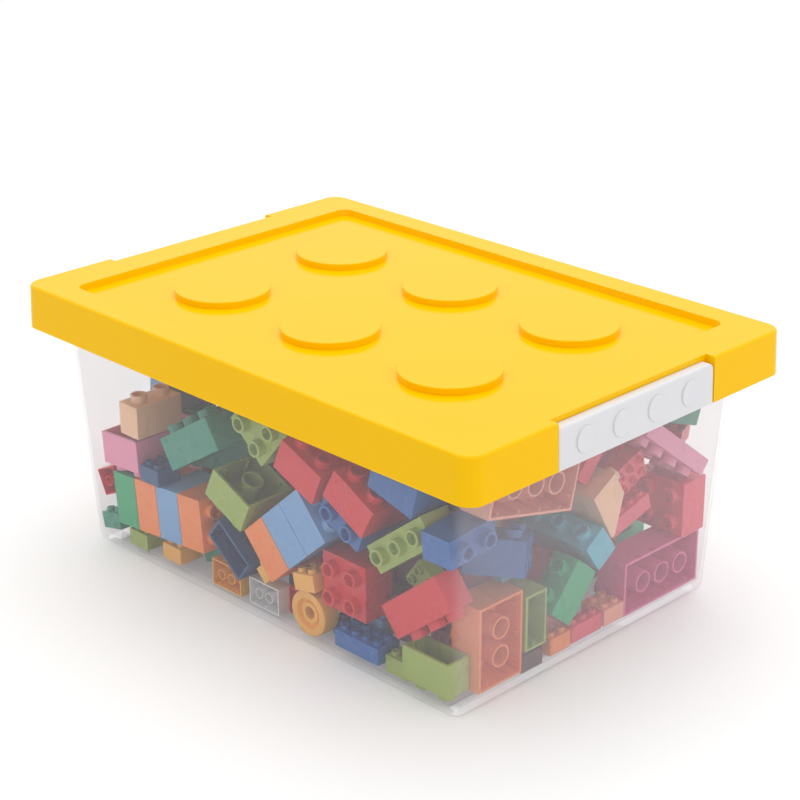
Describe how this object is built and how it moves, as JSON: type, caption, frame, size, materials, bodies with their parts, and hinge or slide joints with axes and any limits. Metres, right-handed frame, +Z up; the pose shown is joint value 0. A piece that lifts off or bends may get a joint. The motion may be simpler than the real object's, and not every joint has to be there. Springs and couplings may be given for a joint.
{
  "type": "storage box for toy building blocks",
  "caption": "Clear tapered tub full of loose toy building blocks, with a yellow lid that has big round studs and is held by a white hinged clip at each end.",
  "frame": {"origin": "middle of the tub's underside, on the ground", "axes": "+X along the box's long side towards the right clip, +Y across it towards the back, +Z up"},
  "size_m": [0.3496, 0.2428, 0.157],
  "materials": {
    "clear_plastic": "clear, slightly milky",
    "yellow_plastic": "semi-gloss",
    "white_plastic": "semi-gloss",
    "magenta_brick": "semi-gloss",
    "orange_brick": "semi-gloss",
    "green_brick": "semi-gloss",
    "light_blue_brick": "semi-gloss",
    "olive_brick": "semi-gloss",
    "red_brick": "semi-gloss",
    "navy_brick": "semi-gloss",
    "cyan_brick": "semi-gloss",
    "pink_brick": "semi-gloss",
    "salmon_brick": "semi-gloss",
    "tan_brick": "semi-gloss",
    "teal_brick": "semi-gloss",
    "blue_brick": "semi-gloss",
    "amber_brick": "semi-gloss",
    "white_brick": "semi-gloss",
    "brown_brick": "semi-gloss",
    "crimson_brick": "semi-gloss"
  },
  "bodies": {
    "tub_and_bricks": {"tub": "clear_plastic", "magenta_open_brick": "magenta_brick", "orange_open_brick": "orange_brick", "green_end_brick": "green_brick", "orange_upright": "orange_brick", "blue_upright": "light_blue_brick", "orange_upright_2": "orange_brick", "orange_tilted": "orange_brick", "light_blue_tilted": "light_blue_brick", "light_blue_tilted_2": "light_blue_brick", "olive_corner_brick": "olive_brick", "red_long_brick": "red_brick", "red_studded_brick": "red_brick", "navy_open_brick": "navy_brick", "olive_open_brick": "olive_brick", "green_leaning_brick": "green_brick", "cyan_long_brick": "cyan_brick", "pink_open_brick": "pink_brick", "peach_open_brick": "salmon_brick", "tan_long_brick": "tan_brick", "olive_block": "olive_brick", "teal_long_brick": "teal_brick", "red_tilted_brick": "red_brick", "red_four_stud_brick": "red_brick", "olive_top_brick": "olive_brick", "blue_two_stud_brick": "blue_brick", "olive_long_brick": "olive_brick", "yellow_wheel": "amber_brick", "amber_small_brick": "amber_brick", "white_small_brick": "white_brick", "red_small_brick": "red_brick", "blue_low_brick": "blue_brick", "brown_wheel": "brown_brick", "blue_foot_brick": "light_blue_brick", "crimson_block": "crimson_brick", "pink_plate": "pink_brick", "tan_slope": "tan_brick", "blue_side_brick": "blue_brick", "blue_end_brick": "blue_brick", "orange_red_plate": "salmon_brick", "salmon_brick": "salmon_brick", "red_leaning_brick": "red_brick", "brown_small_brick": "brown_brick", "amber_cup_brick": "amber_brick", "olive_side_brick": "olive_brick", "olive_foot_brick": "olive_brick", "dark_green_brick": "teal_brick", "red_cup_brick": "red_brick", "navy_small_brick": "navy_brick", "crimson_front_brick": "crimson_brick", "wine_long_brick": "crimson_brick", "crimson_studded_brick": "crimson_brick", "crimson_top_brick": "crimson_brick", "blue_top_brick": "blue_brick", "green_slope": "green_brick", "built_bricks_left": "blue_brick", "built_bricks_middle": "olive_brick"},
    "lid": {"lid": "yellow_plastic"},
    "clip_right": {"clip_right": "white_plastic"},
    "clip_left": {"clip_left": "white_plastic"}
  },
  "joints": [
    {"name": "lid_lift", "type": "slide", "parent": "tub_and_bricks", "child": "lid", "axis": [0, 0, 1], "range_m": [0, 0.06]},
    {"name": "clip_right_hinge", "type": "hinge", "parent": "tub_and_bricks", "child": "clip_right", "pos_m": [0.1659, 0, 0.1365], "axis": [0, 1, 0], "range_deg": [0, 165]},
    {"name": "clip_left_hinge", "type": "hinge", "parent": "tub_and_bricks", "child": "clip_left", "pos_m": [-0.1659, 0, 0.1365], "axis": [0, -1, 0], "range_deg": [0, 165]}
  ]
}
